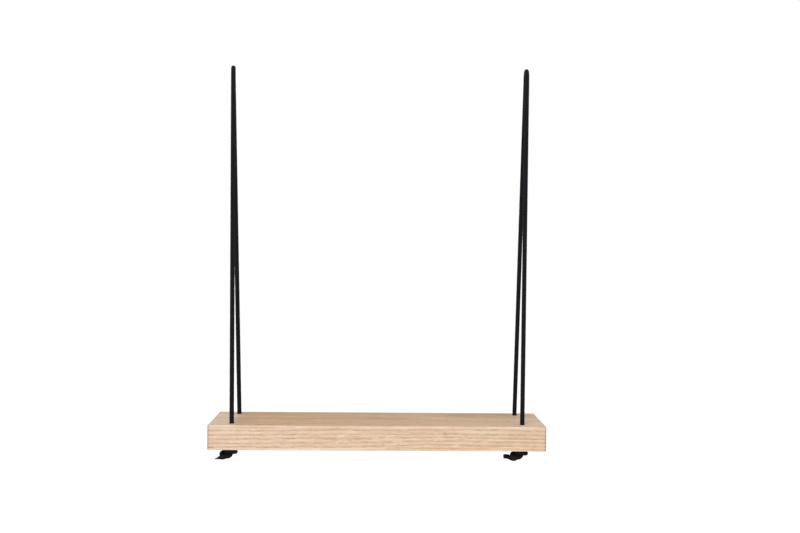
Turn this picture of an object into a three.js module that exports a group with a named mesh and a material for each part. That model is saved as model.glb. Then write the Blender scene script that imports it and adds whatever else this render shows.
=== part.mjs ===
// A hanging rope shelf: one thick oak plank with four drilled holes, and two black cords. Each cord
// starts in a stopper knot under the plank, comes up through the front hole, bends over its hook,
// goes down through the back hole and ends in a second stopper knot.
//
// Millimetres, +Z up, +X to the right and -Y to the front. The origin is the middle of the line
// through the two hooks, which are outside the object. The plank hangs below it.
import * as THREE from 'three';

// Plank
const plankWidth = 600;
const plankDepth = 160;
const plankThickness = 44;
const plankCornerRadius = 2;
const plankEdgeRound = 1.2;
const holeInsetFromEnd = 40;
const holeInsetFromEdge = 24;

// Cord
const cordDiameter = 8;
const holeClearance = 0.6;
const seamGap = 0.3;
const seamHeight = 8;

// Hanging: the hooks' line is this far above the plank's top face, and each hook is a little
// further out than the holes below it.
const hangHeight = 625;
const hookOutset = 8;
const hookBendRadius = 16;
const leftHookTurn = THREE.MathUtils.degToRad(6.5);
const rightHookTurn = THREE.MathUtils.degToRad(3);

// Stopper knots
const knotSpread = 1.05;
const knotTilt = THREE.MathUtils.degToRad(40);
const knotSeatGap = 0.4;

// Faceting
const cordArcSegments = 5;
const holeFacets = 28;
const cornerArcSegments = 6;
const edgeRoundSegments = 3;
const bendStations = 12;
const runStations = 22;
const knotStations = 66;

const cordRadius = cordDiameter / 2;
const holeRadius = cordRadius + holeClearance;
const plankTop = -hangHeight;
const plankUnderside = plankTop - plankThickness;
const holeX = plankWidth / 2 - holeInsetFromEnd;
const holeY = plankDepth / 2 - holeInsetFromEdge;
const hookX = holeX + hookOutset;
const seamLevel = plankUnderside + seamHeight;

const oak = new THREE.MeshStandardMaterial({ name: 'oak', color: '#e2c3a3', roughness: 0.6, metalness: 0 });
const blackCord = new THREE.MeshStandardMaterial({
  name: 'black_cord', color: '#1b1619', roughness: 0.9, metalness: 0,
});

// The centreline of an overhand knot drawn tight, in shares of the cord's diameter. The standing
// part comes from above along the hole's axis, and the knot lies in its own frame, before the tilt.
const knotCoreShares = [
  [0.14, -0.09, 0.85], [0.50, -0.33, 0.46], [0.56, -0.75, 0.08], [0.31, -1.06, -0.34],
  [-0.13, -1.10, -0.72], [-0.61, -0.87, -0.94], [-0.96, -0.41, -0.97], [-1.06, 0.15, -0.83],
  [-0.89, 0.61, -0.51], [-0.51, 0.84, -0.13], [-0.05, 0.87, 0.23], [0.42, 0.90, 0.58],
  [0.82, 0.72, 0.97], [1.04, 0.28, 1.28], [1.02, -0.28, 1.43], [0.73, -0.78, 1.39],
  [0.28, -1.07, 1.17], [-0.16, -1.09, 0.80], [-0.45, -0.82, 0.37], [-0.44, -0.39, -0.01],
  [-0.11, -0.11, -0.40],
];

// The standing part's column over the tilted knot, and the top of the knot's centreline there.
const standingColumnShare = 0.82;
const knotTopShare = 0.72;

// Two ways a tail leaves the knot, after the tilt, in the same shares.
const tailShares = {
  level: [
    [-0.60, 0.05, -0.86], [-1.00, 0.15, -1.05], [-1.46, 0.20, -1.03], [-2.50, 0.05, -0.70],
    [-3.25, -0.15, -0.66],
  ],
  drooping: [
    [-0.62, 0.12, -0.77], [-1.06, 0.25, -0.96], [-1.68, 0.22, -1.00], [-2.20, 0.03, -1.13],
    [-2.62, -0.10, -1.24],
  ],
};

// Two points of one cord count as neighbours when they are nearer along it than this, in the same
// shares.
const neighbourShare = 2.2;

// A route whose tube has one ring at each station, so that bends get more rings than straight runs.
class StationRoute extends THREE.Curve {
  constructor(stations) {
    super();
    this.stations = stations;
  }

  indexAt(share) {
    return Math.round(share * (this.stations.length - 1));
  }

  getPointAt(share) {
    return this.stations[this.indexAt(share)].clone();
  }

  getTangentAt(share) {
    const index = this.indexAt(share);
    const before = this.stations[Math.max(index - 1, 0)];
    const after = this.stations[Math.min(index + 1, this.stations.length - 1)];
    return after.clone().sub(before).normalize();
  }
}

// A cord's tube along the stations.
function cordTube(stations) {
  const section = new THREE.Shape().absarc(0, 0, cordRadius, 0, 2 * Math.PI, false);
  return new THREE.ExtrudeGeometry(section, {
    steps: stations.length - 1,
    curveSegments: cordArcSegments,
    extrudePath: new StationRoute(stations),
  });
}

function spaced(from, to, count) {
  return Array.from({ length: count }, (_, i) => from.clone().lerp(to, i / count));
}

// The least distance between two stretches of one tube that aren't neighbours along it.
function leastGap(stations) {
  const along = [0];
  stations.slice(1).forEach((p, i) => along.push(along[i] + p.distanceTo(stations[i])));
  const skip = neighbourShare * cordDiameter;
  let least = Infinity;
  stations.forEach((p, i) => {
    for (let j = i + 1; j < stations.length; j += 1) {
      if (along[j] - along[i] > skip) least = Math.min(least, p.distanceTo(stations[j]) - cordDiameter);
    }
  });
  return least;
}

function routeLength(stations) {
  return stations.slice(1).reduce((sum, p, i) => sum + p.distanceTo(stations[i]), 0);
}

// Where a straight run leaves the bend: the angle above level at which the circle's tangent meets
// a point that is reach out from the hook and hangHeight below it.
function leavingAngle(reach) {
  const toHole = Math.hypot(reach, hangHeight);
  return Math.acos(hookBendRadius / toHole) - Math.atan2(hangHeight, reach);
}

// One cord's stretch from inside the front hole, up, over the hook, and down into the back hole.
// side is -1 on the left and 1 on the right, and turn is how far the hook turns the bend's front
// inwards.
function ropeStations(side, turn) {
  const hook = new THREE.Vector3(side * hookX, 0, 0);
  const forward = new THREE.Vector3(-side * Math.sin(turn), -Math.cos(turn), 0);
  const onBend = (angle) => hook.clone()
    .addScaledVector(forward, hookBendRadius * Math.cos(angle))
    .add(new THREE.Vector3(0, 0, hookBendRadius * Math.sin(angle)));
  const mouth = (front) => new THREE.Vector3(side * holeX, front ? -holeY : holeY, plankTop);
  const reachOf = (point) => Math.abs(point.clone().sub(hook).setZ(0).dot(forward));
  const start = leavingAngle(reachOf(mouth(true)));
  const end = Math.PI - leavingAngle(reachOf(mouth(false)));
  const bend = Array.from({ length: bendStations + 1 },
    (_, i) => onBend(THREE.MathUtils.lerp(start, end, i / bendStations)));
  return [
    mouth(true).setZ(seamLevel),
    ...spaced(mouth(true), bend[0], runStations),
    ...bend,
    ...spaced(mouth(false), bend[bendStations], runStations).reverse(),
    mouth(false).setZ(seamLevel),
  ];
}

// One stopper knot, with the hole's axis on the Z axis and the plank's underside at zero.
function knotStationsFor(tail) {
  const scale = cordDiameter * knotSpread;
  const place = ([x, y, z]) => new THREE.Vector3(
    (x - standingColumnShare) * scale, y * scale,
    (z - knotTopShare) * scale - cordRadius - knotSeatGap);
  const tilted = knotCoreShares.map(([x, y, z]) => [
    x * Math.cos(knotTilt) + z * Math.sin(knotTilt), y,
    z * Math.cos(knotTilt) - x * Math.sin(knotTilt),
  ]);
  const standingTop = new THREE.Vector3(0, 0, seamHeight - seamGap);
  const standingFoot = new THREE.Vector3(0, 0, 0);
  const points = [standingTop, standingFoot, ...tilted.map(place), ...tailShares[tail].map(place)];
  return new THREE.CatmullRomCurve3(points, false, 'centripetal').getSpacedPoints(knotStations);
}

function namedMesh(name, geometry, material) {
  const mesh = new THREE.Mesh(geometry, material);
  mesh.name = name;
  return mesh;
}

function holeOutline(x, y) {
  const turns = Array.from({ length: holeFacets }, (_, i) => -2 * Math.PI * i / holeFacets);
  return new THREE.Path().setFromPoints(turns.map((turn) => new THREE.Vector2(
    x + holeRadius * Math.cos(turn), y + holeRadius * Math.sin(turn))));
}

// The plank: an outline with round corners and four holes, whose edges and hole mouths are eased.
function plankGeometry() {
  const x = plankWidth / 2;
  const y = plankDepth / 2;
  const r = plankCornerRadius;
  const outline = new THREE.Shape()
    .moveTo(r - x, -y)
    .lineTo(x - r, -y)
    .absarc(x - r, r - y, r, -Math.PI / 2, 0, false)
    .lineTo(x, y - r)
    .absarc(x - r, y - r, r, 0, Math.PI / 2, false)
    .lineTo(r - x, y)
    .absarc(r - x, y - r, r, Math.PI / 2, Math.PI, false)
    .lineTo(-x, r - y)
    .absarc(r - x, r - y, r, Math.PI, 1.5 * Math.PI, false);
  for (const sideX of [-holeX, holeX]) {
    for (const sideY of [-holeY, holeY]) {
      outline.holes.push(holeOutline(sideX, sideY));
    }
  }
  return new THREE.ExtrudeGeometry(outline, {
    depth: plankThickness - 2 * plankEdgeRound,
    curveSegments: cornerArcSegments,
    bevelThickness: plankEdgeRound,
    bevelSize: plankEdgeRound,
    bevelOffset: -plankEdgeRound,
    bevelSegments: edgeRoundSegments,
  }).translate(0, 0, plankUnderside + plankEdgeRound);
}

const shelf = new THREE.Group();
shelf.add(namedMesh('shelf_plank', plankGeometry(), oak));

for (const [name, side, turn] of [['left', -1, leftHookTurn], ['right', 1, rightHookTurn]]) {
  const stations = ropeStations(side, turn);
  shelf.add(namedMesh(`${name}_rope`, cordTube(stations), blackCord));
  console.log(`${name} rope from seam to seam: ${routeLength(stations).toFixed(0)} mm`);
}

// Each knot's hole, its tail, and the turn of the knot about the hole's axis.
const knots = [
  { name: 'left_front_knot', side: -1, front: true, tail: 'drooping', turn: 4 },
  { name: 'right_front_knot', side: 1, front: true, tail: 'level', turn: -14 },
  { name: 'left_back_knot', side: -1, front: false, tail: 'level', turn: 166 },
  { name: 'right_back_knot', side: 1, front: false, tail: 'drooping', turn: -158 },
];
for (const knot of knots) {
  const mesh = namedMesh(knot.name, cordTube(knotStationsFor(knot.tail)), blackCord);
  mesh.position.set(knot.side * holeX, knot.front ? -holeY : holeY, plankUnderside);
  mesh.rotation.z = THREE.MathUtils.degToRad(knot.turn);
  shelf.add(mesh);
}

for (const tail of Object.keys(tailShares)) {
  const stations = knotStationsFor(tail);
  console.log(`knot with a ${tail} tail: least gap to itself ${leastGap(stations).toFixed(2)} mm, `
    + `cord in it ${routeLength(stations).toFixed(0)} mm`);
}

export default shelf;
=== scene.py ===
"""Hanging rope shelf: one thick oak plank that hangs from two black braided cords.

Metres, +Z up, +X to the right and -Y to the front, as in the CAD model. The origin is the middle
of the line through the two hooks that hold the cords. The hooks are outside the object.
"""
import logging
import math
from dataclasses import dataclass, field, fields
from enum import Enum
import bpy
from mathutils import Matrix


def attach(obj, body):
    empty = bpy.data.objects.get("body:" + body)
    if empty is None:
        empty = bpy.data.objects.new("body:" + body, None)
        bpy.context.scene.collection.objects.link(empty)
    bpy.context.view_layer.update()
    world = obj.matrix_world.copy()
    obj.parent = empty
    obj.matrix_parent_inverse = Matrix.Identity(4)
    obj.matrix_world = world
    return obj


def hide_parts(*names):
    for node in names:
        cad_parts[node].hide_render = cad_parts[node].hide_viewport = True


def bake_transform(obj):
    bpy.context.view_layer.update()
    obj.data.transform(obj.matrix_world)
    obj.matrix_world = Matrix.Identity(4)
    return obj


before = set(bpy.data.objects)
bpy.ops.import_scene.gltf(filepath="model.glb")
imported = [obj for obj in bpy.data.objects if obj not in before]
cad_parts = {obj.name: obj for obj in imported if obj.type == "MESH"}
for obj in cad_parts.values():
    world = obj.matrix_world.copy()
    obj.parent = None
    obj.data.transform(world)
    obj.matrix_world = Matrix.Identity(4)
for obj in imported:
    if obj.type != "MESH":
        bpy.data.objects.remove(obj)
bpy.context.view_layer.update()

from types import SimpleNamespace
from typing import Union

import bpy
from mathutils import Matrix, Vector

log = logging.getLogger("hanging_rope_shelf")

SWINGING_BODY = "plank"
STRAND_MAP = "strand"

Socket = bpy.types.NodeSocket
Node = bpy.types.Node
Material = bpy.types.Material
Piece = bpy.types.Object
Colour = tuple[float, float, float]
Point = tuple[float, float, float]
Band = tuple[float, float]

WHITE = (1.0, 1.0, 1.0, 1.0)


class Spot(Enum):
    """A choice of place, with the sign of its coordinate."""

    @property
    def word(self) -> str:
        """The place's name in lower case, as piece names use it."""
        return self.name.lower()


class Side(Spot):
    """The end of the shelf that a cord holds, with the sign of its X."""

    LEFT = -1
    RIGHT = 1


class Row(Spot):
    """The row of holes, with the sign of its Y."""

    FRONT = -1
    BACK = 1


@dataclass(frozen=True)
class CordEnd:
    """Whether a cord's end is melted, over what length the cord narrows, and to what share."""

    sealed: bool
    taper_length: float
    taper_share: float


class Cut(CordEnd, Enum):
    """The ways in which a cord ends."""

    HIDDEN = (False, 0.001, 1.0)
    BLUNT = (True, 0.0018, 0.96)
    DRAWN = (True, 0.0135, 0.24)


class Tail(Enum):
    """The two ways in which a cut tail leaves its knot, in shares of the cord's diameter."""

    LEVEL = (
        (-0.58, 0.07, -0.84), (-0.98, 0.15, -1.05), (-1.38, 0.24, -1.04),
        (-2.55, 0.08, -0.58), (-3.26, -0.20, -0.55),
    )
    DROOPING = (
        (-0.62, 0.13, -0.75), (-1.06, 0.28, -0.93), (-1.72, 0.25, -0.96),
        (-2.26, 0.04, -1.10), (-2.84, -0.10, -1.20),
    )


def in_scene(name: str, data: bpy.types.ID) -> Piece:
    """Puts some data into the scene as an object.

    Args:
        name: The object's name.
        data: Its mesh, lamp or camera.

    Returns:
        The object.
    """
    made = bpy.data.objects.new(name, data)
    bpy.context.scene.collection.objects.link(made)
    return made


# Node trees


class Wire:
    """A value that flows through a node tree, with the usual arithmetic on it."""

    def __init__(self, tree: bpy.types.NodeTree, socket: Socket) -> None:
        """Remembers the tree and the output socket that carries the value."""
        self.tree = tree
        self.socket = socket

    def calculate(self, operation: str, *others: "Number") -> "Wire":
        """Puts a Math node after this value.

        Args:
            operation: The Math node's operation.
            *others: The node's second and third operands.

        Returns:
            The result.
        """
        node = self.tree.nodes.new("ShaderNodeMath")
        node.operation = operation
        for socket, value in zip(node.inputs, (self, *others)):
            feed(self.tree, socket, value)
        return Wire(self.tree, node.outputs[0])

    def __add__(self, other: "Number") -> "Wire":
        """This value plus another."""
        return self.calculate("ADD", other)

    def __sub__(self, other: "Number") -> "Wire":
        """This value less another."""
        return self.calculate("SUBTRACT", other)

    def __mul__(self, other: "Number") -> "Wire":
        """This value times another."""
        return self.calculate("MULTIPLY", other)

    def __truediv__(self, other: "Number") -> "Wire":
        """This value divided by another."""
        return self.calculate("DIVIDE", other)

    def __neg__(self) -> "Wire":
        """This value with its sign turned."""
        return self.calculate("MULTIPLY", -1.0)

    def rest(self) -> "Wire":
        """What is left of 1 when this value is taken away."""
        return self * -1.0 + 1.0

    def sine(self) -> "Wire":
        """The sine of this value, in radians."""
        return self.calculate("SINE")

    def cosine(self) -> "Wire":
        """The cosine of this value, in radians."""
        return self.calculate("COSINE")

    def whole(self) -> "Wire":
        """This value without its fraction."""
        return self.calculate("FLOOR")

    def part(self) -> "Wire":
        """This value's fraction."""
        return self.calculate("FRACT")

    def size(self) -> "Wire":
        """This value without its sign."""
        return self.calculate("ABSOLUTE")

    def clipped(self) -> "Wire":
        """This value held between -1 and 1."""
        return self.calculate("MINIMUM", 1.0).calculate("MAXIMUM", -1.0)

    def ramp(self, low: "Number", high: "Number", start: "Number" = 0.0, end: "Number" = 1.0) -> "Wire":
        """A smooth step from start, where this value is low, to end, where it is high.

        Args:
            low: The value at which the step starts.
            high: The value at which it ends.
            start: What it gives up to low.
            end: What it gives from high on.

        Returns:
            The stepped value.
        """
        node = self.tree.nodes.new("ShaderNodeMapRange")
        node.interpolation_type = "SMOOTHSTEP"
        for socket, value in zip(node.inputs, (self, low, high, start, end)):
            feed(self.tree, socket, value)
        return Wire(self.tree, node.outputs[0])

    def fall(self, low: "Number", high: "Number") -> "Wire":
        """A smooth step from 1, where this value is low, to 0, where it is high."""
        return self.ramp(low, high, 1.0, 0.0)

    def near_high_edge(self, half: float, zone: Band) -> "Wire":
        """A mask that is 1 nearer to an edge than the zone and 0 further in.

        Args:
            half: The edge's distance from the middle, where this value is 0.
            zone: The distances from the edge between which the mask changes.

        Returns:
            The mask.
        """
        return self.ramp(half - zone[1], half - zone[0])

    def near_low_edge(self, half: float, zone: Band) -> "Wire":
        """The same mask at the opposite edge, where this value is negative."""
        return self.fall(zone[0] - half, zone[1] - half)


Number = Union[Wire, float]
Fed = Union[Wire, Socket, float, int, bool, str, tuple, Material]
Inputs = dict[Union[str, int], Fed]

SOCKET_KINDS = {bool: "Bool", int: "Int", float: "Float"}


def feed(tree: bpy.types.NodeTree, socket: Socket, value: Fed) -> None:
    """Links a value to an input socket, or sets the socket to it.

    Args:
        tree: The node tree.
        socket: The input socket.
        value: A wire or an output socket to link, or a plain value to set.
    """
    if isinstance(value, Wire):
        tree.links.new(value.socket, socket)
    elif isinstance(value, Socket):
        tree.links.new(value, socket)
    else:
        socket.default_value = value


def input_name(size: str) -> str:
    """A size field's name as a node tree's input shows it."""
    return size.replace("_", " ").title()


class TreeWriter:
    """Writes one node tree."""

    def __init__(self, tree: bpy.types.NodeTree) -> None:
        """Starts to write a tree, which may have nodes already."""
        self.tree = tree

    def into(self, node: Node, inputs: Inputs) -> None:
        """Feeds some of a node's input sockets, by name or index."""
        for key, value in inputs.items():
            feed(self.tree, node.inputs[key], value)

    def node(self, kind: str, inputs: Inputs | None = None, **settings: object) -> Node:
        """Adds a node.

        Args:
            kind: The node's type name.
            inputs: What its input sockets get, by name or index.
            **settings: The node's own properties, which are set first.

        Returns:
            The node.
        """
        made = self.tree.nodes.new(kind)
        for name, value in settings.items():
            setattr(made, name, value)
        self.into(made, inputs or {})
        return made

    def wire(self, socket: Socket) -> Wire:
        """The output socket's value, ready for arithmetic."""
        return Wire(self.tree, socket)

    def made(self, kind: str, inputs: Inputs | None = None, **settings: object) -> Wire:
        """Adds a node in the same way and gives its first output's value."""
        return self.wire(self.node(kind, inputs, **settings).outputs[0])

    def vector(self, x: Number, y: Number, z: Number) -> Wire:
        """Three numbers as one vector."""
        return self.made("ShaderNodeCombineXYZ", {0: x, 1: y, 2: z})

    def parts(self, vector: Fed) -> tuple[Wire, ...]:
        """A vector's three numbers."""
        return tuple(self.wire(out) for out in self.node("ShaderNodeSeparateXYZ", {0: vector}).outputs)

    def turned(self, operation: str, first: Fed, second: Fed) -> Wire:
        """The result of one operation on two vectors, or on a vector and a number.

        Args:
            operation: The Vector Math node's operation.
            first: The first vector.
            second: The second vector, or the number for SCALE.

        Returns:
            The resulting vector.
        """
        other = "Scale" if operation == "SCALE" else 1
        return self.made("ShaderNodeVectorMath", {0: first, other: second}, operation=operation)

    def drawn(self, number: Wire) -> Wire:
        """A random value from 0 to 1 that goes with a whole number."""
        return self.made("ShaderNodeTexWhiteNoise", {"W": number}, noise_dimensions="1D")

    def mixed(self, share: Fed, first: Fed, second: Fed, blend: str = "MIX") -> Wire:
        """Mixes two colours.

        Args:
            share: How much of the second colour there is, from 0 to 1.
            first: The first colour, as a wire or as red, green and blue.
            second: The second colour.
            blend: The Mix node's blend type.

        Returns:
            The mixed colour.
        """
        node = self.node("ShaderNodeMix", {0: share}, data_type="RGBA", blend_type=blend)
        for socket, value in ((node.inputs[6], first), (node.inputs[7], second)):
            feed(self.tree, socket, (*value, 1.0) if isinstance(value, tuple) else value)
        return self.wire(node.outputs[2])

    def bumped(self, height: Wire, strength: float, distance: float) -> Wire:
        """The normals of a surface with a relief.

        Args:
            height: The relief, in shares of the distance.
            strength: The Bump node's strength.
            distance: The relief's height.

        Returns:
            The normals.
        """
        return self.made("ShaderNodeBump", {"Strength": strength, "Distance": distance, "Height": height})

    def seen(self) -> Wire:
        """What the camera sees, directly or in gloss or glass.

        Returns:
            A mask that is 1 there.
        """
        path = self.node("ShaderNodeLightPath")
        seen = self.wire(path.outputs["Is Camera Ray"])
        for name in ("Is Glossy Ray", "Is Transmission Ray"):
            seen = seen.calculate("MAXIMUM", self.wire(path.outputs[name]))
        return seen

    def joined(self, *shapes: Wire) -> Wire:
        """Joins some geometries.

        Args:
            *shapes: The geometries, in their order in the result.

        Returns:
            The joined geometry.
        """
        node = self.node("GeometryNodeJoinGeometry")
        for shape in shapes:
            feed(self.tree, node.inputs[0], shape)
        return self.wire(node.outputs[0])

    def captured(self, shape: Fed, items: dict[str, tuple[str, Fed]],
                 domain: str = "POINT") -> dict[str, Wire]:
        """Keeps some values on a geometry before it changes.

        Args:
            shape: The geometry.
            items: The values by name, each with its data type.
            domain: The elements that keep them.

        Returns:
            The kept values by name, and the geometry under its own.
        """
        node = self.node("GeometryNodeCaptureAttribute", {0: shape}, domain=domain)
        for name, (kind, value) in items.items():
            node.capture_items.new(kind, name)
            feed(self.tree, node.inputs[name], value)
        return {output.name: self.wire(output) for output in node.outputs}

    def border(self, kind: str) -> Node:
        """The tree's one group input or output node, made when it is first needed."""
        found = next((node for node in self.tree.nodes if node.bl_idname == kind), None)
        return found or self.tree.nodes.new(kind)

    def opened(self, name: str, kind: str) -> Wire:
        """Adds a named input to the tree.

        Args:
            name: The input's name.
            kind: Its socket type, without the NodeSocket in front.

        Returns:
            The input's value inside the tree.
        """
        self.tree.interface.new_socket(name, in_out="INPUT", socket_type=f"NodeSocket{kind}")
        return self.wire(self.border("NodeGroupInput").outputs[name])

    def opened_sizes(self, *holders: type) -> SimpleNamespace:
        """Adds a named input for each field of some dataclasses.

        Args:
            *holders: The dataclasses.

        Returns:
            The inputs' values inside the tree, by the fields' names.
        """
        return SimpleNamespace(**{
            size.name: self.opened(input_name(size.name), SOCKET_KINDS[size.type])
            for holder in holders for size in fields(holder)
        })

    def closed(self, name: str, kind: str, value: Fed) -> None:
        """Adds a named output to the tree and feeds it.

        Args:
            name: The output's name.
            kind: Its socket type, without the NodeSocket in front.
            value: What the output gives.
        """
        self.tree.interface.new_socket(name, in_out="OUTPUT", socket_type=f"NodeSocket{kind}")
        feed(self.tree, self.border("NodeGroupOutput").inputs[name], value)


class ShapeTree:
    """A geometry node tree that is written once and then run with each piece's own values."""

    def __init__(self, name: str) -> None:
        """Starts the tree."""
        self.writer = TreeWriter(bpy.data.node_groups.new(name, "GeometryNodeTree"))

    def grown(self, name: str, seed: bpy.types.Mesh, values: dict[str, Fed]) -> Piece:
        """Runs the tree on a mesh and keeps the result as a plain mesh.

        Args:
            name: The finished piece's name.
            seed: The mesh that the tree starts from.
            values: The tree's inputs by name.

        Returns:
            The finished piece, at the origin, with no modifier.
        """
        tree = self.writer.tree
        host = in_scene(f"{name}_host", seed)
        modifier = host.modifiers.new("shape", "NODES")
        modifier.node_group = tree
        for item in tree.interface.items_tree:
            if item.in_out == "INPUT" and item.name in values:
                modifier[item.identifier] = values[item.name]
        graph = bpy.context.evaluated_depsgraph_get()
        mesh = bpy.data.meshes.new_from_object(
            host.evaluated_get(graph), preserve_all_data_layers=True, depsgraph=graph)
        bpy.data.objects.remove(host)
        mesh.name = name
        return in_scene(name, mesh)


# Shared shader group


@dataclass(frozen=True)
class Pattern:
    """A noise's changes per unit along each axis, its octaves, and its values for 0 and for 1."""

    stretch: Point
    octaves: float = 2.0
    low: float = 0.35
    high: float = 0.65


class StretchedNoise:
    """A shader group: noise drawn out along the axes, as a mask from 0 to 1."""

    NAME = "stretched_noise"
    ROUGHNESS = 0.55

    @classmethod
    def group(cls) -> bpy.types.NodeTree:
        """The group, built at its first use."""
        return bpy.data.node_groups.get(cls.NAME) or cls.written()

    @classmethod
    def written(cls) -> bpy.types.NodeTree:
        """Builds the group.

        Returns:
            The group, with a place, a stretch, a level of detail and two limits as its inputs.
        """
        writer = TreeWriter(bpy.data.node_groups.new(cls.NAME, "ShaderNodeTree"))
        place, stretch = (writer.opened(name, "Vector") for name in ("Place", "Stretch"))
        detail, low, high = (writer.opened(name, "Float") for name in ("Detail", "Low", "High"))
        noise = writer.made("ShaderNodeTexNoise", {
            "Vector": writer.turned("MULTIPLY", place, stretch), "Scale": 1.0, "Detail": detail,
            "Roughness": cls.ROUGHNESS,
        })
        writer.closed("Mask", "Float", noise.ramp(low, high))
        return writer.tree

    @classmethod
    def mask(cls, writer: TreeWriter, place: Fed, pattern: Pattern) -> Wire:
        """Places the group in a material.

        Args:
            writer: The material's tree.
            place: The point that the noise is read at.
            pattern: The noise's settings.

        Returns:
            The mask.
        """
        return writer.made("ShaderNodeGroup", {
            "Place": place, "Stretch": pattern.stretch, "Detail": pattern.octaves,
            "Low": pattern.low, "High": pattern.high,
        }, node_tree=cls.group())


def new_material(name: str) -> tuple[Material, TreeWriter, Node]:
    """Starts a material.

    Args:
        name: The material's name.

    Returns:
        The material, a writer for its nodes and its Principled BSDF.
    """
    material = bpy.data.materials.new(name)
    material.use_nodes = True
    return material, TreeWriter(material.node_tree), material.node_tree.nodes["Principled BSDF"]


# Finishes


@dataclass(frozen=True)
class OakPoint:
    """A point inside the plank's material, masks of its ends and its top, and half of its sizes."""

    writer: TreeWriter
    place: Socket
    x: Wire
    y: Wire
    height: Wire
    at_end: Wire
    at_top: Wire
    half: Point

    def noise(self, pattern: Pattern) -> Wire:
        """A noise in the solid wood, read at this point."""
        return StretchedNoise.mask(self.writer, self.place, pattern)

    def waver(self, pattern: Pattern) -> Wire:
        """The same noise, drawn to swing to both sides of zero."""
        return self.noise(pattern) - 0.5


@dataclass(frozen=True)
class GrainShares:
    """How much each feature of the wood darkens a face, and the tone that they start from."""

    start: float
    early: float
    ring: float
    streak: float
    hair: float
    fibre: float = 0.0
    dash: float = 0.0
    fleck: float = 0.0
    late: float = 0.0
    vessel: float = 0.0
    vessel_in_early: float = 0.0
    ray: float = 0.0


@dataclass(frozen=True)
class OakGrain:
    """Pale oak: growth rings round a pith below the plank, with fibres, pores and rays."""

    cream: Colour = (0.945, 0.765, 0.56)
    tan: Colour = (0.605, 0.41, 0.27)
    pink: Colour = (0.84, 0.545, 0.40)
    pore: Colour = (0.40, 0.24, 0.135)
    pith_y: float = 0.045
    pith_drop: float = 0.30
    ring_width: float = 0.0065
    ring_wander: float = 0.010
    ring_ripple: float = 0.0021
    early_fade: Band = (0.0, 0.45)
    early_return: Band = (0.88, 1.0)
    late_rise: Band = (0.42, 0.58)
    late_fade: Band = (0.64, 0.86)
    wander: Pattern = Pattern((1.6, 5.0, 5.0), 2.0, 0.2, 0.8)
    ripple: Pattern = Pattern((9.0, 60.0, 60.0), 2.0, 0.2, 0.8)
    fibre: Pattern = Pattern((16.0, 620.0, 620.0), 3.0)
    streak: Pattern = Pattern((9.0, 250.0, 250.0))
    dash: Pattern = Pattern((46.0, 330.0, 330.0))
    broken: Pattern = Pattern((15.0, 180.0, 180.0), 2.0, 0.38, 0.58)
    fleck: Pattern = Pattern((130.0, 340.0, 260.0), 2.0, 0.54, 0.70)
    hair: Pattern = Pattern((35.0, 1900.0, 1900.0))
    pores: Pattern = Pattern((70.0, 2100.0, 2100.0), 1.0, 0.53, 0.59)
    vessel: Pattern = Pattern((300.0, 1500.0, 1500.0), 1.0, 0.50, 0.62)
    ray: Pattern = Pattern((230.0, 34.0, 0.0), 2.0, 0.46, 0.66)
    cloud: Pattern = Pattern((4.5, 14.0, 14.0), 2.0, 0.3, 0.7)
    blush: Pattern = Pattern((24.0, 110.0, 110.0), 2.0, 0.40, 0.62)
    on_long_faces: GrainShares = GrainShares(
        start=-0.195, early=0.16, ring=0.14, streak=0.22, hair=0.26, fibre=0.18, dash=0.37,
        fleck=0.32, late=-0.50)
    on_ends: GrainShares = GrainShares(
        start=0.28, early=0.34, ring=0.14, streak=0.10, hair=0.12, vessel=0.12,
        vessel_in_early=0.5, ray=-0.30)
    top_tone: float = 0.36
    top_calm: float = 0.45
    cloud_share: float = 0.20
    blush_share: float = 0.42
    pore_share: float = 0.58
    pores_in_early: float = 0.75
    pores_elsewhere: float = 0.25

    def drawn(self, point: OakPoint) -> tuple[Wire, SimpleNamespace]:
        """Draws the wood at a point.

        Args:
            point: The point of the plank.

        Returns:
            The wood's colour, and its features as masks.
        """
        writer, noise = point.writer, point.noise
        across = point.y - self.pith_y
        rise = point.height + self.pith_drop
        radius = (across * across + rise * rise).calculate("SQRT")
        waver = point.waver(self.wander) * self.ring_wander
        ripple = point.waver(self.ripple) * self.ring_ripple
        rings = (radius + waver + ripple) / self.ring_width
        ring = rings.part()
        early = ring.fall(*self.early_fade) + ring.ramp(*self.early_return)
        late = ring.ramp(*self.late_rise) * ring.fall(*self.late_fade)
        ring_tone = writer.drawn(rings.whole())
        fibre, streak, broken, hair = (
            noise(pattern) for pattern in (self.fibre, self.streak, self.broken, self.hair))
        pores = noise(self.pores) * (early * self.pores_in_early + self.pores_elsewhere)

        share = self.on_long_faces
        on_long_faces = (
            early * share.early + ring_tone * share.ring + fibre * share.fibre + streak * share.streak
            + noise(self.dash) * share.dash + noise(self.fleck) * share.fleck
            + late * broken * share.late + hair * share.hair + share.start)
        share = self.on_ends
        fan = writer.vector(across.calculate("ARCTAN2", rise), radius, 0.0)
        on_ends = (
            early * share.early + ring_tone * share.ring
            + noise(self.vessel) * (early * share.vessel_in_early + share.vessel)
            + hair * share.hair + streak * share.streak
            + StretchedNoise.mask(writer, fan, self.ray) * share.ray + share.start)
        tone = on_long_faces + (on_ends - on_long_faces) * point.at_end
        tone = tone + (tone * -1.0 + self.top_tone) * point.at_top * self.top_calm

        colour = writer.mixed(tone, self.cream, self.tan)
        rosy = noise(self.cloud) * self.cloud_share + noise(self.blush) * self.blush_share
        colour = writer.mixed(rosy, colour, self.pink)
        colour = writer.mixed(pores * self.pore_share, colour, self.pore)
        return colour, SimpleNamespace(early=early, fibre=fibre, pores=pores, broken=broken)


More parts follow.
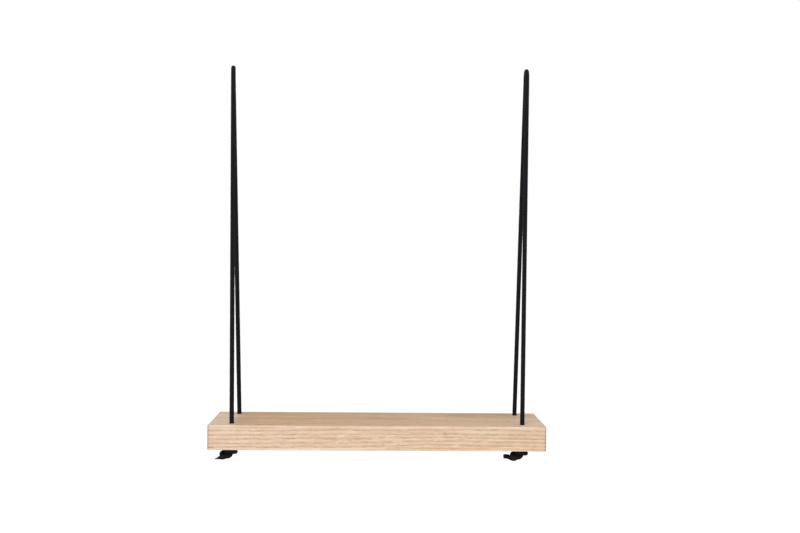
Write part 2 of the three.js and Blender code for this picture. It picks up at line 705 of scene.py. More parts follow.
@dataclass(frozen=True)
class OakMarksAndPaintedLight:
    """Painted light and shade on the plank, with a warmer right side and one small dark mark: the top
    painted darker in its middle, at its back and along its front edge, its ends painted paler, painted
    highlights along the long edges, and painted shade on the corners and ends over darker end grain.
    """

    right_warmth: Colour = (1.0, 0.975, 0.935)
    # Painted shade for the top face, at its left and at its right.
    top_left_shade: Colour = (0.875, 0.77, 0.645)
    top_right_shade: Colour = (0.97, 0.93, 0.875)
    # Painted shade on the top face, towards its back and along its front edge.
    top_back_shade: Colour = (0.84, 0.84, 0.83)
    # Painted light: the top face's ends are painted paler.
    dry_end: Colour = (0.97, 0.80, 0.63)
    # End grain darker, and painted shade on the rounded vertical corners.
    end_shade: Colour = (0.86, 0.80, 0.76)
    # Painted highlight along the eased long edges.
    rubbed: Colour = (0.97, 0.80, 0.655)
    # Painted shade on the rounded vertical corners.
    soiled: Colour = (0.72, 0.67, 0.68)
    # A small dark brown mark low on the front face near its left end.
    bruise: Colour = (0.34, 0.19, 0.12)
    warmth_run: Band = (-0.30, 0.30)
    top_shade_run: Band = (-0.18, 0.20)
    back_shade_run: Band = (-0.02, 0.08)
    dry_zone: Band = (0.032, 0.054)
    dry_waver: float = 0.012
    waver: Pattern = Pattern((40.0, 70.0, 20.0), 2.0, 0.2, 0.8)
    dry_share: float = 0.32
    front_line: Band = (0.002, 0.011)
    front_line_run: Band = (-0.10, 0.06)
    front_line_share: float = 0.7
    end_share: float = 0.75
    arris_up: Band = (0.0014, 0.0052)
    arris_in: Band = (0.0010, 0.0046)
    arris_share: float = 0.30
    arris_broken_share: float = 0.30
    corner_along: Band = (0.0012, 0.0044)
    corner_in: Band = (0.0010, 0.0050)
    corner_share: float = 0.7
    corner_broken_share: float = 0.3
    knock_along: Band = (0.010, 0.0135)
    knock_in: Band = (0.001, 0.003)
    knock_up: float = 0.0045
    knock_half_height: Band = (0.0008, 0.0020)
    knock_share: float = 0.42

    def worn(self, point: OakPoint, colour: Wire, broken: Wire) -> Wire:
        """Lays painted light, painted shade and a small dark mark on the wood at a point.

        Args:
            point: The point of the plank.
            colour: The wood's colour there.
            broken: A mask of broken lines along the grain.

        Returns:
            The colour with its painted light, painted shade and mark.
        """
        x, y, height, mixed = point.x, point.y, point.height, point.writer.mixed
        half_width, half_depth, half_thickness = point.half
        # Painted light: near each end the top face is spared the painted shade and painted paler, with a
        # wavering border.
        waver = point.waver(self.waver) * self.dry_waver
        lit_ends = (x.size() + waver).near_high_edge(half_width, self.dry_zone)
        # Painted shade: the top face darkens away from its ends, more at the left than at the right.
        painted_shade = mixed(x.ramp(*self.top_shade_run), self.top_left_shade, self.top_right_shade)
        colour = mixed(x.ramp(*self.warmth_run), colour, self.right_warmth, "MULTIPLY")
        colour = mixed(point.at_top * lit_ends.rest(), colour, painted_shade, "MULTIPLY")
        # Painted shade: the top face darkens towards the back.
        back = y.ramp(*self.back_shade_run)
        colour = mixed(point.at_top * back, colour, self.top_back_shade, "MULTIPLY")
        colour = mixed(point.at_top * lit_ends * self.dry_share, colour, self.dry_end)
        # Painted shade: a darker band along the top's front edge, towards the right.
        front_line = y.near_low_edge(half_depth, self.front_line) * x.ramp(*self.front_line_run)
        colour = mixed(point.at_top * front_line * self.front_line_share, colour,
                       self.top_back_shade, "MULTIPLY")
        # End grain darker, and painted shade on the rounded vertical corners.
        colour = mixed(point.at_end * self.end_share, colour, self.end_shade, "MULTIPLY")

        # Painted highlight along the eased long edges, broken along the grain.
        arris = (height.size().near_high_edge(half_thickness, self.arris_up)
                 * y.size().near_high_edge(half_depth, self.arris_in))
        colour = mixed(arris * (broken * self.arris_broken_share + self.arris_share), colour, self.rubbed)
        # Painted shade on the rounded vertical corners, broken along the grain.
        corner = (x.size().near_high_edge(half_width, self.corner_along)
                  * y.size().near_high_edge(half_depth, self.corner_in))
        colour = mixed(corner * (broken * self.corner_broken_share + self.corner_share), colour,
                       self.soiled, "MULTIPLY")
        # A small dark brown mark low on the front face near its left end.
        left_mark = (x.near_low_edge(half_width, self.knock_along)
                 * y.near_low_edge(half_depth, self.knock_in)
                 * (height + half_thickness - self.knock_up).size().fall(*self.knock_half_height))
        return mixed(left_mark * self.knock_share, colour, self.bruise)


@dataclass(frozen=True)
class OakFinish:
    """The plank's sanded oak with a thin matt oil."""

    width: float
    depth: float
    thickness: float
    middle_level: float
    grain: OakGrain = OakGrain()
    # Painted light and shade on the plank's colour, with a small dark mark.
    wear: OakMarksAndPaintedLight = OakMarksAndPaintedLight()
    end_zone: Band = (0.0004, 0.0020)
    top_zone: Band = (0.0002, 0.0012)
    roughness: float = 0.60
    fibre_roughness: float = 0.10
    pore_roughness: float = 0.16
    specular: float = 0.28
    fibre_relief: float = 0.25
    pore_relief: float = 0.9
    early_relief: float = 0.12
    bump_strength: float = 0.55
    bump_distance: float = 0.00035

    def material(self) -> Material:
        """Writes the material.

        Returns:
            The oak.
        """
        material, writer, shader = new_material("sanded_oak")
        place = writer.node("ShaderNodeTexCoord").outputs["Object"]
        x, y, z = writer.parts(place)
        height = z - self.middle_level
        half = (self.width / 2, self.depth / 2, self.thickness / 2)
        at_end = x.size().near_high_edge(half[0], self.end_zone)
        at_top = height.near_high_edge(half[2], self.top_zone)
        point = OakPoint(writer, place, x, y, height, at_end, at_top, half)
        colour, wood = self.grain.drawn(point)
        relief = (wood.fibre * self.fibre_relief - wood.pores * self.pore_relief
                  - wood.early * self.early_relief)
        writer.into(shader, {
            # Base colour: the grain with painted shade, painted light and painted highlights laid over it.
            "Base Color": self.wear.worn(point, colour, wood.broken),
            "Roughness": (wood.fibre * self.fibre_roughness + wood.pores * self.pore_roughness
                          + self.roughness),
            "Specular IOR Level": self.specular,
            "Normal": writer.bumped(relief, self.bump_strength, self.bump_distance),
        })
        return material


@dataclass(frozen=True)
class CordFinish:
    """Dyed black yarn: fine filaments along each strand, with a faint sheen."""

    deep: Colour = (0.0030, 0.0022, 0.0034)
    worn: Colour = (0.0125, 0.0090, 0.0145)
    filaments: float = 9.0
    filament_slant: float = 0.35
    rub: Pattern = Pattern((6.0, 0.30, 7.3), 3.0)
    filament_light: float = 0.16
    rub_light: float = 0.5
    strand_light: float = 0.22
    roughness: float = 0.78
    rub_polish: float = -0.12
    specular: float = 0.13
    sheen: float = 0.02
    sheen_roughness: float = 0.45
    filament_relief: float = 0.5
    rub_relief: float = 0.6
    bump_strength: float = 0.6
    bump_distance: float = 0.00012

    def material(self) -> Material:
        """Writes the material, on the map that numbers the strands across and measures along them.

        Returns:
            The yarn.
        """
        material, writer, shader = new_material("black_braid")
        across, along, _ = writer.parts(writer.made("ShaderNodeUVMap", uv_map=STRAND_MAP))
        strand = across.whole()
        filament = ((across * self.filaments + along * self.filament_slant) * math.tau).sine()
        rub = StretchedNoise.mask(writer, writer.vector(across, along, strand), self.rub)
        lit = (filament * self.filament_light + rub * self.rub_light
               + writer.drawn(strand) * self.strand_light)
        relief = filament * self.filament_relief + rub * self.rub_relief
        writer.into(shader, {
            "Base Color": writer.mixed(lit, self.deep, self.worn),
            "Roughness": rub * self.rub_polish + self.roughness,
            "Specular IOR Level": self.specular,
            "Sheen Weight": self.sheen,
            "Sheen Roughness": self.sheen_roughness,
            "Normal": writer.bumped(relief, self.bump_strength, self.bump_distance),
        })
        return material


@dataclass(frozen=True)
class SealedFinish:
    """The tail's cut end, where the yarns are melted together: smoother and a little glossy."""

    melt: Colour = (0.009, 0.008, 0.009)
    ash: Colour = (0.018, 0.016, 0.018)
    lump: Pattern = Pattern((900.0, 900.0, 900.0))
    grit: Pattern = Pattern((3600.0, 3600.0, 3600.0))
    ash_share: float = 0.5
    roughness: float = 0.38
    lump_roughness: float = 0.25
    specular: float = 0.4
    grit_relief: float = 0.3
    bump_strength: float = 0.5
    bump_distance: float = 0.0002

    def material(self) -> Material:
        """Writes the material.

        Returns:
            The melted yarn.
        """
        material, writer, shader = new_material("sealed_yarn")
        place = writer.node("ShaderNodeTexCoord").outputs["Object"]
        lump = StretchedNoise.mask(writer, place, self.lump)
        grit = StretchedNoise.mask(writer, place, self.grit)
        relief = lump + grit * self.grit_relief
        writer.into(shader, {
            "Base Color": writer.mixed(grit * self.ash_share, self.melt, self.ash),
            "Roughness": lump * self.lump_roughness + self.roughness,
            "Specular IOR Level": self.specular,
            "Normal": writer.bumped(relief, self.bump_strength, self.bump_distance),
        })
        return material


# Braided cord


@dataclass(frozen=True)
class Braid:
    """The sizes of a braided cord."""

    cord_diameter: float = 0.008
    strands_each_way: int = 8
    lay_length: float = 0.035
    strand_width: float = 0.0027
    strand_thickness: float = 0.00095
    crossing_relief: float = 0.00023
    station_spacing: float = 0.0014
    core_share: float = 0.80


class BraidTree(ShapeTree):
    """The geometry nodes that turn a route into a braided cord of real strands."""

    YARN = "Yarn Finish"
    MELTED = "Sealed Finish"
    PROFILE_POINTS = 5
    FLATTENING = 1.32
    MAP_HALF_WIDTH = 0.49
    MAP_PER_METRE = 1000.0
    TOP_SHARE = 0.60
    WAVE_CLIP = 1.3
    SINKING = 0.00012
    CORE_POINTS = 12
    CORE_SPACING_SHARE = 0.3
    TIP_SEGMENTS = 20
    TIP_RINGS = 12
    TIP_RADIUS_SHARE = 0.49
    TIP_SCALE = (1.0, 1.0, 0.32)
    LUMPS_PER_METRE = 320.0
    LUMP_SHARE = 0.16

    def __init__(self, finishes: dict[str, Material]) -> None:
        """Builds the tree, with the route, the sizes and the finishes as its inputs.

        Args:
            finishes: The finishes of the yarn and of the sealed tips, by their inputs' names.
        """
        super().__init__("braided_cord")
        self.finishes = finishes
        writer = self.writer
        route = writer.opened("Route", "Geometry")
        self.size = writer.opened_sizes(Braid, CordEnd)
        seed = writer.opened("Seed", "Int")
        yarn, melted = (writer.opened(name, "Material") for name in (self.YARN, self.MELTED))

        curve = writer.made("GeometryNodeMeshToCurve", {0: route})
        even = writer.made("GeometryNodeResampleCurve", {
            0: curve, "Length": self.size.station_spacing,
        }, mode="LENGTH")
        backbone = writer.made("GeometryNodeSetCurveNormal", {0: even}, mode="MINIMUM_TWIST")
        self.total = writer.made("GeometryNodeCurveLength", {0: backbone})
        tip = writer.captured(self.tip(backbone), {"Melted": ("BOOLEAN", True)}, "FACE")
        whole = writer.joined(tip["Geometry"], self.core(backbone), self.strands(backbone, seed))
        smooth = writer.made("GeometryNodeSetShadeSmooth", {0: whole})
        real = writer.made("GeometryNodeRealizeInstances", {0: smooth})
        dyed = writer.made("GeometryNodeSetMaterial", {0: real, "Material": yarn})
        writer.closed("Cord", "Geometry", writer.made("GeometryNodeSetMaterial", {
            0: dyed, "Selection": tip["Melted"], "Material": melted,
        }))

    def along(self) -> Wire:
        """The distance along the cord."""
        return self.writer.wire(self.writer.node("GeometryNodeSplineParameter").outputs["Length"])

    def narrowing(self) -> Wire:
        """The share of its thickness that the cord keeps at a point, which falls towards a cut tail."""
        left = self.total - self.along()
        return left.ramp(0.0, self.size.taper_length, self.size.taper_share, 1.0)

    def strands(self, backbone: Wire, seed: Wire) -> Wire:
        """The strands, which wind both ways round the route and cross two over, two under.

        Args:
            backbone: The route, with evenly spaced points.
            seed: The seed of the strands' small differences.

        Returns:
            The strands' mesh.
        """
        writer, size = self.writer, self.size
        copies = writer.node("GeometryNodeDuplicateElements", {
            0: backbone, "Amount": size.strands_each_way * 2.0,
        }, domain="SPLINE")
        index = writer.wire(copies.outputs["Duplicate Index"])
        number = (index / 2.0).whole()
        way = index.calculate("MODULO", 2.0) * -2.0 + 1.0
        along = self.along()
        turns = along / size.lay_length
        angle = (way * turns + number / size.strands_each_way) * math.tau
        phase = (number + way * turns * size.strands_each_way) * math.pi + math.pi / 4
        wave = (phase.sine() * way * self.WAVE_CLIP).clipped()
        uneven = writer.wire(writer.node("FunctionNodeRandomValue", {
            "ID": index, "Seed": seed,
        }, data_type="FLOAT").outputs[1])
        kept = self.narrowing()
        out = ((size.cord_diameter - size.strand_thickness * self.TOP_SHARE) / 2.0
               + (wave - 1.0) * size.crossing_relief)
        out = (out - uneven * self.SINKING) * kept

        tangent = writer.made("GeometryNodeInputTangent")
        normal = writer.made("GeometryNodeInputNormal")
        side = writer.turned("CROSS_PRODUCT", tangent, normal)
        outward = writer.turned("ADD", writer.turned("SCALE", normal, angle.cosine()),
                                writer.turned("SCALE", side, angle.sine()))
        line = writer.captured(copies.outputs[0], {
            "Outward": ("VECTOR", outward), "Along": ("FLOAT", along), "Strand": ("FLOAT", index),
            "Kept": ("FLOAT", kept),
        })
        placed = writer.made("GeometryNodeSetPosition", {
            0: line["Geometry"], "Offset": writer.turned("SCALE", outward, out),
        })
        steered = writer.made("GeometryNodeSetCurveNormal", {
            0: placed, "Normal": line["Outward"],
        }, mode="FREE")

        circle = writer.made("GeometryNodeCurvePrimitiveCircle", {
            "Radius": 1.0, "Resolution": self.PROFILE_POINTS,
        }, mode="RADIUS")
        x, y, _ = writer.parts(writer.made("GeometryNodeInputPosition"))
        sideways = (y * -self.FLATTENING).clipped()
        across = sideways * self.MAP_HALF_WIDTH + 0.5
        marked = writer.captured(circle, {"Across": ("FLOAT", across)})
        flat = writer.made("GeometryNodeSetPosition", {
            0: marked["Geometry"],
            "Position": writer.vector(
                x * size.strand_thickness / -2.0, sideways * size.strand_width / 2.0, 0.0),
        })
        swept = writer.made("GeometryNodeCurveToMesh", {
            0: steered, "Profile Curve": flat, "Fill Caps": True, "Scale": line["Kept"],
        })
        place = writer.vector(line["Strand"] + marked["Across"], line["Along"] * self.MAP_PER_METRE, 0.0)
        return writer.made("GeometryNodeStoreNamedAttribute", {
            0: swept, "Name": STRAND_MAP, "Value": place,
        }, data_type="FLOAT2", domain="CORNER")

    def core(self, backbone: Wire) -> Wire:
        """The straight core that shows between the strands.

        Args:
            backbone: The route, with evenly spaced points.

        Returns:
            The core's mesh.
        """
        writer, size = self.writer, self.size
        circle = writer.made("GeometryNodeCurvePrimitiveCircle", {
            "Radius": size.cord_diameter * size.core_share / 2.0, "Resolution": self.CORE_POINTS,
        }, mode="RADIUS")
        thinned = writer.made("GeometryNodeResampleCurve", {
            0: backbone, "Length": size.cord_diameter * self.CORE_SPACING_SHARE,
        }, mode="LENGTH")
        return writer.made("GeometryNodeCurveToMesh", {
            0: thinned, "Profile Curve": circle, "Fill Caps": True, "Scale": self.narrowing(),
        })

    def tip(self, backbone: Wire) -> Wire:
        """The melted blob that closes a cut tail.

        Args:
            backbone: The route, whose last point is the tail's end.

        Returns:
            The tip's mesh, which is empty where the end isn't sealed.
        """
        writer, size = self.writer, self.size
        last = writer.made("GeometryNodeCurveEndpointSelection", {"Start Size": 0, "End Size": 1})
        ball = writer.made("GeometryNodeMeshUVSphere", {
            "Segments": self.TIP_SEGMENTS, "Rings": self.TIP_RINGS,
            "Radius": size.cord_diameter * size.taper_share * self.TIP_RADIUS_SHARE,
        })
        lumps = writer.made("ShaderNodeTexNoise", {"Scale": self.LUMPS_PER_METRE, "Detail": 1.0})
        push = (lumps - 0.5) * size.cord_diameter * self.LUMP_SHARE
        uneven = writer.made("GeometryNodeSetPosition", {
            0: ball, "Offset": writer.turned("SCALE", writer.made("GeometryNodeInputNormal"), push),
        })
        tips = writer.made("GeometryNodeInstanceOnPoints", {
            "Points": backbone,
            "Selection": writer.made("FunctionNodeBooleanMath", {0: last, 1: size.sealed}, operation="AND"),
            "Instance": uneven,
            "Rotation": writer.made("FunctionNodeAlignRotationToVector", {
                "Vector": writer.made("GeometryNodeInputTangent"),
            }, axis="Z"),
            "Scale": self.TIP_SCALE,
        })
        return writer.made("GeometryNodeRealizeInstances", {0: tips})

    def cord(self, name: str, route: list[Vector], braid: Braid, cut: Cut, seed: int) -> Piece:
        """Braids a cord along a route.

        Args:
            name: The piece's name.
            route: The points that the cord's middle follows.
            braid: The braid's sizes.
            cut: How the route ends.
            seed: The seed of the strands' small differences.

        Returns:
            The braided cord.
        """
        line = bpy.data.meshes.new(f"{name}_route")
        line.from_pydata(route, [(i, i + 1) for i in range(len(route) - 1)], [])
        sizes = {input_name(size.name): getattr(holder, size.name)
                 for holder in (braid, cut) for size in fields(holder)}
        return self.grown(name, line, {**sizes, "Seed": seed, **self.finishes})


# The plank


class PlankTree(ShapeTree):
    """The geometry nodes that make the plank: an outline with round holes, its edges all eased."""

    MERGE_DISTANCE = 0.00001
    LEAST_FLAT_AREA = 0.001
    LEAST_LEVEL = 0.999

    def __init__(self) -> None:
        """Builds the tree, with the plank's sizes and its finish as its inputs."""
        super().__init__("drilled_plank")
        writer = self.writer
        writer.opened("Seed Point", "Geometry")
        width, depth, self.thickness, corner, self.ease, hole_diameter, hole_x, hole_y, middle = (
            writer.opened(name, "Float") for name in (
                "Width", "Depth", "Thickness", "Corner Radius", "Edge Round", "Hole Diameter",
                "Hole X", "Hole Y", "Middle Level"))
        self.steps, facets = (writer.opened(name, "Int") for name in ("Round Segments", "Hole Segments"))
        wood = writer.opened("Wood Finish", "Material")

        board = writer.made("GeometryNodeCurvePrimitiveQuadrilateral", {
            "Width": width - self.ease * 2.0, "Height": depth - self.ease * 2.0,
        }, mode="RECTANGLE")
        outline = writer.made("GeometryNodeFilletCurve", {
            0: board, "Count": self.steps, "Radius": corner - self.ease,
        }, mode="POLY")
        circle = writer.made("GeometryNodeCurvePrimitiveCircle", {
            "Resolution": facets, "Radius": hole_diameter / 2.0 + self.ease,
        }, mode="RADIUS")
        corners = writer.made("GeometryNodeMeshGrid", {
            "Size X": hole_x * 2.0, "Size Y": hole_y * 2.0, "Vertices X": 2, "Vertices Y": 2,
        })
        placed = writer.made("GeometryNodeInstanceOnPoints", {
            "Points": corners, "Instance": writer.made("GeometryNodeReverseCurve", {0: circle}),
        })
        holes = writer.made("GeometryNodeRealizeInstances", {0: placed})
        rim = writer.made("GeometryNodeSetCurveNormal", {0: writer.joined(holes, outline)}, mode="Z_UP")
        wall = writer.made("GeometryNodeCurveToMesh", {0: rim, "Profile Curve": self.edge_profile()})
        face = writer.made("GeometryNodeFillCurve", {0: rim}, mode="TRIANGLES")
        half = self.thickness / 2.0
        top = self.lifted(face, half)
        underside = self.lifted(writer.made("GeometryNodeFlipFaces", {0: face}), -half)
        closed = writer.made("GeometryNodeMergeByDistance", {
            0: writer.joined(wall, top, underside), "Distance": self.MERGE_DISTANCE,
        })
        _, _, up = writer.parts(writer.made("GeometryNodeInputNormal"))
        level = up.size().calculate("GREATER_THAN", self.LEAST_LEVEL)
        area = writer.made("GeometryNodeInputMeshFaceArea")
        flat = area.calculate("GREATER_THAN", self.LEAST_FLAT_AREA).calculate("MAXIMUM", level)
        shaded = writer.made("GeometryNodeSetShadeSmooth", {
            0: self.lifted(closed, middle), "Shade Smooth": flat.calculate("LESS_THAN", 0.5),
        })
        real = writer.made("GeometryNodeRealizeInstances", {0: shaded})
        writer.closed("Plank", "Geometry", writer.made("GeometryNodeSetMaterial", {
            0: real, "Material": wood,
        }))

    def lifted(self, shape: Wire, up: Wire) -> Wire:
        """The shape at another height."""
        move = self.writer.vector(0.0, 0.0, up)
        return self.writer.made("GeometryNodeTransform", {0: shape, "Translation": move})

    def edge_profile(self) -> Wire:
        """The section of the plank's edge: a quarter round, a straight side and a quarter round.

        Returns:
            The profile's curve, whose X goes out of the wood and whose Y goes down the edge.
        """
        writer = self.writer
        resampled = writer.made("GeometryNodeResampleCurve", {
            0: writer.made("GeometryNodeCurvePrimitiveLine"), "Count": (self.steps + 1.0) * 2.0,
        }, mode="COUNT")
        index = writer.made("GeometryNodeInputIndex")
        lower = index.calculate("GREATER_THAN", self.steps + 0.5)
        turn = (index - lower * (self.steps + 1.0)) / self.steps * (math.pi / 2)
        upper = lower.rest()
        out = self.ease * (turn.sine() * upper + turn.cosine() * lower)
        down = (self.thickness / 2.0 - self.ease) * (lower - upper) + self.ease * (
            turn.sine() * lower - turn.cosine() * upper)
        return writer.made("GeometryNodeSetPosition", {
            0: resampled, "Position": writer.vector(out, down, 0.0),
        })


@dataclass
class OakPlank:
    """One thick plank with eased edges and a drilled hole near each corner."""

    width: float = 0.600
    depth: float = 0.160
    thickness: float = 0.044
    corner_radius: float = 0.002
    edge_round: float = 0.0012
    hole_diameter: float = 0.0092
    hole_inset_from_end: float = 0.040
    hole_inset_from_edge: float = 0.024
    top_level: float = -0.625
    round_segments: int = 6
    hole_segments: int = 32

    @property
    def underside_level(self) -> float:
        """The underside's height."""
        return self.top_level - self.thickness

    def hole(self, side: Side, row: Row) -> Vector:
        """The middle of a hole's mouth in the top face."""
        return Vector((side.value * (self.width / 2 - self.hole_inset_from_end),
                       row.value * (self.depth / 2 - self.hole_inset_from_edge), self.top_level))

    def build(self) -> Piece:
        """Makes the plank.

        Returns:
            The plank.
        """
        middle = self.top_level - self.thickness / 2
        hole = self.hole(Side.RIGHT, Row.BACK)
        point = bpy.data.meshes.new("plank_seed")
        point.from_pydata([(0.0, 0.0, middle)], [], [])
        plank = PlankTree().grown("oak_plank", point, {
            "Width": self.width,
            "Depth": self.depth,
            "Thickness": self.thickness,
            "Corner Radius": self.corner_radius,
            "Edge Round": self.edge_round,
            "Hole Diameter": self.hole_diameter,
            "Hole X": hole.x,
            "Hole Y": hole.y,
            "Middle Level": middle,
            "Round Segments": self.round_segments,
            "Hole Segments": self.hole_segments,
            "Wood Finish": OakFinish(self.width, self.depth, self.thickness, middle).material(),
        })
        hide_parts("shelf_plank")
        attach(plank, SWINGING_BODY)
        return plank


# The cords


@dataclass
class HangingCord:
    """One cord's stretch from inside its front hole, over its hook, to inside its back hole."""

    plank: OakPlank
    side: Side
    bend_turn: float
    braid: Braid = field(default_factory=Braid)
    hook_outset: float = 0.008
    bend_radius: float = 0.016
    seam_height: float = 0.008
    bend_steps: int = 48
    run_steps: int = 60
    blend_start: Point = (0.0, 0.0, 0.020)
    blend_end: Point = (0.0, 0.0, -0.004)

    MIDDLE_SEED = 10

    @property
    def hook(self) -> Vector:
        """The middle of the cord's top bend."""
        hole = self.plank.hole(self.side, Row.FRONT)
        return Vector((hole.x + self.side.value * self.hook_outset, 0.0, 0.0))

    @property
    def forward(self) -> Vector:
        """The level direction from the hook to the front of the bend."""
        return Vector((-self.side.value * math.sin(self.bend_turn), -math.cos(self.bend_turn), 0.0))

    def leaving_angle(self, mouth: Vector) -> float:
        """The angle above level at which the straight run to a hole leaves the bend.

        Args:
            mouth: The middle of the hole's mouth.

        Returns:
            The angle, in radians.
        """
        level = Vector((mouth.x - self.hook.x, mouth.y, 0.0))
        reach = abs(level.dot(self.forward))
        drop = -mouth.z
        return math.acos(self.bend_radius / math.hypot(reach, drop)) - math.atan2(drop, reach)

    def on_bend(self, angle: float) -> Vector:
        """The point of the top bend at an angle above level, measured from its front."""
        up = Vector((0.0, 0.0, self.bend_radius * math.sin(angle)))
        return self.hook + self.forward * (self.bend_radius * math.cos(angle)) + up

    def seam(self, row: Row) -> Vector:
        """Where this stretch meets its knot's, inside a hole.

        Args:
            row: The hole's row.

        Returns:
            The point.
        """
        point = self.plank.hole(self.side, row)
        point.z = self.plank.underside_level + self.seam_height
        return point

    def route(self) -> list[Vector]:
        """The points that the cord's middle follows, from the front seam to the back one.

        Returns:
            The points.
        """
        front, back = (self.plank.hole(self.side, row) for row in (Row.FRONT, Row.BACK))
        start = self.leaving_angle(front)
        end = math.pi - self.leaving_angle(back)
        bend = [self.on_bend(start + (end - start) * i / self.bend_steps)
                for i in range(self.bend_steps + 1)]
        up = [front.lerp(bend[0], i / self.run_steps) for i in range(self.run_steps)]
        down = [bend[-1].lerp(back, (i + 1) / self.run_steps) for i in range(self.run_steps)]
        return [self.seam(Row.FRONT), *up, *bend, *down, self.seam(Row.BACK)]

    def build(self, tree: BraidTree, knots: list[Piece]) -> Piece:
        """Args:
            tree: The braid's geometry nodes.
            knots: The cord's two knots; not used.

        Returns:
            The cord.
        """
        route = self.route()
        cord = tree.cord(f"{self.side.word}_cord", route, self.braid, Cut.HIDDEN,
                         self.MIDDLE_SEED + self.side.value)
        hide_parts(f"{self.side.word}_rope")
        length = sum((b - a).length for a, b in zip(route, route[1:]))
        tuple(route[0])
        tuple(self.blend_start)
        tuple(self.blend_end)
        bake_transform(cord)
        return cord


@dataclass
class StopperKnot:
    """One overhand knot drawn tight under the plank, with its cut and sealed tail."""

    plank: OakPlank
    side: Side
    row: Row
    tail: Tail
    turn: float
    cut: Cut
    braid: Braid = field(default_factory=lambda: Braid(station_spacing=0.0011))
    spread: float = 0.985
    tilt: float = math.radians(40)
    seat_gap: float = 0.0004
    seam_gap: float = 0.0003
    seam_height: float = HangingCord.seam_height
    standing_column_share: float = 0.82
    top_share: float = 0.72
    steps: int = 160

    MIDDLE_SEED = 20
    SEEDS_PER_SIDE = 2
    CORE_SHARES = (
        (0.14, -0.09, 0.85), (0.50, -0.33, 0.46), (0.56, -0.75, 0.08), (0.31, -1.06, -0.34),
        (-0.13, -1.10, -0.72), (-0.61, -0.87, -0.94), (-0.96, -0.41, -0.97), (-1.06, 0.15, -0.83),
        (-0.89, 0.61, -0.51), (-0.51, 0.84, -0.13), (-0.05, 0.87, 0.23), (0.42, 0.90, 0.58),
        (0.82, 0.72, 0.97), (1.04, 0.28, 1.28), (1.02, -0.28, 1.43), (0.73, -0.78, 1.39),
        (0.28, -1.07, 1.17), (-0.16, -1.09, 0.80), (-0.45, -0.82, 0.37), (-0.44, -0.39, -0.01),
        (-0.11, -0.11, -0.40),
    )

    @property
    def name(self) -> str:
        """The knot's CAD node."""
        return f"{self.side.word}_{self.row.word}_knot"

    def placed(self, share: Point) -> Vector:
        """Puts a point of the knot under the hole.

        Args:
            share: The point, in shares of the cord's diameter.

        Returns:
            The point in metres, from the middle of the hole's lower mouth.
        """
        scale = self.braid.cord_diameter * self.spread
        down = self.braid.cord_diameter / 2 + self.seat_gap
        return Vector(((share[0] - self.standing_column_share) * scale, share[1] * scale,
                       (share[2] - self.top_share) * scale - down))

    def tilted(self, share: Point) -> Point:
        """A point of the knot's own frame after its tilt about the Y axis."""
        return (share[0] * math.cos(self.tilt) + share[2] * math.sin(self.tilt), share[1],
                share[2] * math.cos(self.tilt) - share[0] * math.sin(self.tilt))

    def route(self) -> list[Vector]:
        """The points that the cord's middle follows, from the seam to the tail's end.

        Returns:
            The points.
        """
        corners = [Vector((0.0, 0.0, self.seam_height - self.seam_gap)), Vector((0.0, 0.0, 0.0))]
        corners += [self.placed(self.tilted(share)) for share in self.CORE_SHARES]
        corners += [self.placed(share) for share in self.tail.value]
        foot = self.plank.hole(self.side, self.row)
        foot.z = self.plank.underside_level
        place = Matrix.Translation(foot) @ Matrix.Rotation(self.turn, 4, "Z")
        return [place @ point for point in smooth_line(corners, self.steps)]

    def build(self, tree: BraidTree) -> Piece:
        """Braids the knot.

        Args:
            tree: The braid's geometry nodes.

        Returns:
            The knot.
        """
        seed = self.MIDDLE_SEED + self.side.value * self.SEEDS_PER_SIDE + self.row.value
        knot = tree.cord(f"{self.name}_braid", self.route(), self.braid, self.cut, seed)
        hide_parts(self.name)
        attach(knot, SWINGING_BODY)
        return knot


def smooth_line(corners: list[Vector], steps: int) -> list[Vector]:
    """Points on a centripetal Catmull-Rom spline, with the same number on each stretch.

    Args:
        corners: The points that the spline goes through.
        steps: About how many points the line gets.

    Returns:
        The line's points.
    """
    ends = [corners[0] * 2 - corners[1], *corners, corners[-1] * 2 - corners[-2]]
    per_stretch = round(steps / (len(corners) - 1))
    line = [corners[0]]
    for a, b, c, d in zip(ends, ends[1:], ends[2:], ends[3:]):
        t1 = math.sqrt((b - a).length)
        t2 = t1 + math.sqrt((c - b).length)
        t3 = t2 + math.sqrt((d - c).length)
        for i in range(per_stretch):
            t = t1 + (t2 - t1) * (i + 1) / per_stretch
            ab = a.lerp(b, t / t1)
            bc = b.lerp(c, (t - t1) / (t2 - t1))
            cd = c.lerp(d, (t - t2) / (t3 - t2))
            before = ab.lerp(bc, t / t2)
            after = bc.lerp(cd, (t - t1) / (t3 - t1))
            line.append(before.lerp(after, (t - t1) / (t2 - t1)))
    return line


# The studio


@dataclass(frozen=True)
class ShelfCamera:
    """The camera at the photograph's place, found from the plank's corners and holes."""

    place: Point = (-0.0066, -2.0248, -0.3046)
    yaw: float = -0.0226
    pitch: float = -0.0194
    roll: float = -0.0091
    lens: float = 49.63
    sensor: float = 36.0

    def build(self) -> None:
        """Makes the camera and hands it to the scene."""
        data = bpy.data.cameras.new("shelf_camera")
        data.lens = self.lens
        data.sensor_width = self.sensor
        camera = in_scene("shelf_camera", data)
        level = Matrix.Rotation(math.pi / 2, 4, "X")
        turned = (Matrix.Rotation(self.yaw, 4, "Z") @ Matrix.Rotation(self.pitch, 4, "X")
                  @ Matrix.Rotation(self.roll, 4, "Y"))
        camera.matrix_world = Matrix.Translation(self.place) @ turned @ level
        bpy.context.scene.camera = camera


@dataclass(frozen=True)
class SoftBox:
    """One large square lamp."""

    name: str
    place: Point
    aim: Point
    size: float
    power: float

    def build(self) -> None:
        """Makes the lamp and turns it to what it lights."""
        data = bpy.data.lights.new(self.name, "AREA")
        data.shape = "SQUARE"
        data.size = self.size
        data.energy = self.power
        lamp = in_scene(self.name, data)
        lamp.location = self.place
        look = Vector(self.aim) - Vector(self.place)
        lamp.rotation_euler = look.to_track_quat("-Z", "Y").to_euler()


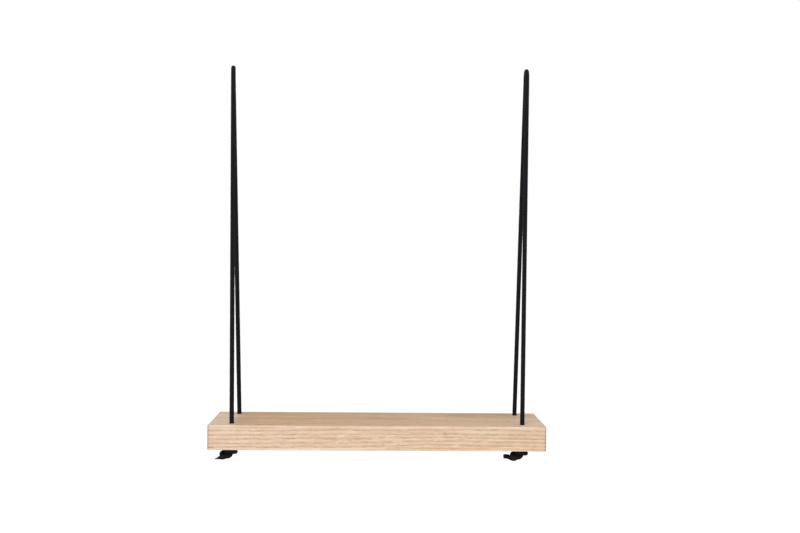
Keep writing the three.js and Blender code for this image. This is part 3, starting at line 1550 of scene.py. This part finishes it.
@dataclass
class Studio:
    """A white room: soft front light, an even fill and a pale floor far below the shelf."""

    fill: float = 0.50
    floor_level: float = -1.60
    floor_reach: float = 9.0
    floor_tone: float = 0.86
    floor_roughness: float = 0.9
    floor_glow: float = 0.62
    lamp: SoftBox = SoftBox(
        "front_soft_box", place=(-0.9, -3.4, 1.50), aim=(0.0, 0.0, -0.5), size=2.6, power=87.0)

    def background(self) -> None:
        """Makes the room white where the camera, gloss or glass sees it, and an even fill elsewhere."""
        world = bpy.data.worlds.new("white_room")
        world.use_nodes = True
        writer = TreeWriter(world.node_tree)
        writer.into(world.node_tree.nodes["Background"], {
            "Color": WHITE, "Strength": writer.seen() * (1.0 - self.fill) + self.fill,
        })
        bpy.context.scene.world = world

    def floor(self) -> None:
        """Lays the floor, which is lifted to white for the camera and keeps the shelf's shadow."""
        reach = self.floor_reach
        mesh = bpy.data.meshes.new("pale_floor")
        mesh.from_pydata([(x * reach, y * reach, self.floor_level)
                          for x, y in ((-1, -1), (1, -1), (1, 1), (-1, 1))], [], [(0, 1, 2, 3)])
        floor = in_scene("pale_floor", mesh)
        material, writer, shader = new_material("pale_floor")
        writer.into(shader, {
            "Base Color": (self.floor_tone, self.floor_tone, self.floor_tone, 1.0),
            "Roughness": self.floor_roughness,
            "Specular IOR Level": 0.0,
            "Emission Color": WHITE,
            "Emission Strength": writer.seen() * self.floor_glow,
        })
        mesh.materials.append(material)

    def build(self) -> None:
        """Lights the room and lays its floor."""
        self.background()
        self.floor()
        self.lamp.build()


def report(piece: Piece) -> None:
    """Logs a finished piece."""
    log.info("%s: %d faces", piece.name, len(piece.data.polygons))


def main() -> None:
    """Builds the shelf: the camera and the cords first, then the plank and the studio."""
    logging.basicConfig(level=logging.INFO, format="%(name)s: %(message)s")
    bpy.context.scene.view_settings.view_transform = "Standard"
    ShelfCamera().build()
    log.info("camera at the photograph's place")

    plank = OakPlank()
    tree = BraidTree({
        BraidTree.YARN: CordFinish().material(), BraidTree.MELTED: SealedFinish().material(),
    })
    knots = (
        StopperKnot(plank, Side.LEFT, Row.FRONT, Tail.DROOPING, math.radians(4), Cut.DRAWN),
        StopperKnot(plank, Side.RIGHT, Row.FRONT, Tail.LEVEL, math.radians(-14), Cut.BLUNT),
        StopperKnot(plank, Side.LEFT, Row.BACK, Tail.LEVEL, math.radians(166), Cut.BLUNT),
        StopperKnot(plank, Side.RIGHT, Row.BACK, Tail.DROOPING, math.radians(-158), Cut.BLUNT),
    )
    for side, bend_turn in ((Side.LEFT, math.radians(6.5)), (Side.RIGHT, math.radians(3))):
        tied = [knot.build(tree) for knot in knots if knot.side is side]
        cord = HangingCord(plank, side, bend_turn).build(tree, tied)
        for piece in (*tied, cord):
            report(piece)

    report(plank.build())
    Studio().build()
    log.info("studio: world, lamp and floor")


if __name__ == "__main__":
    main()
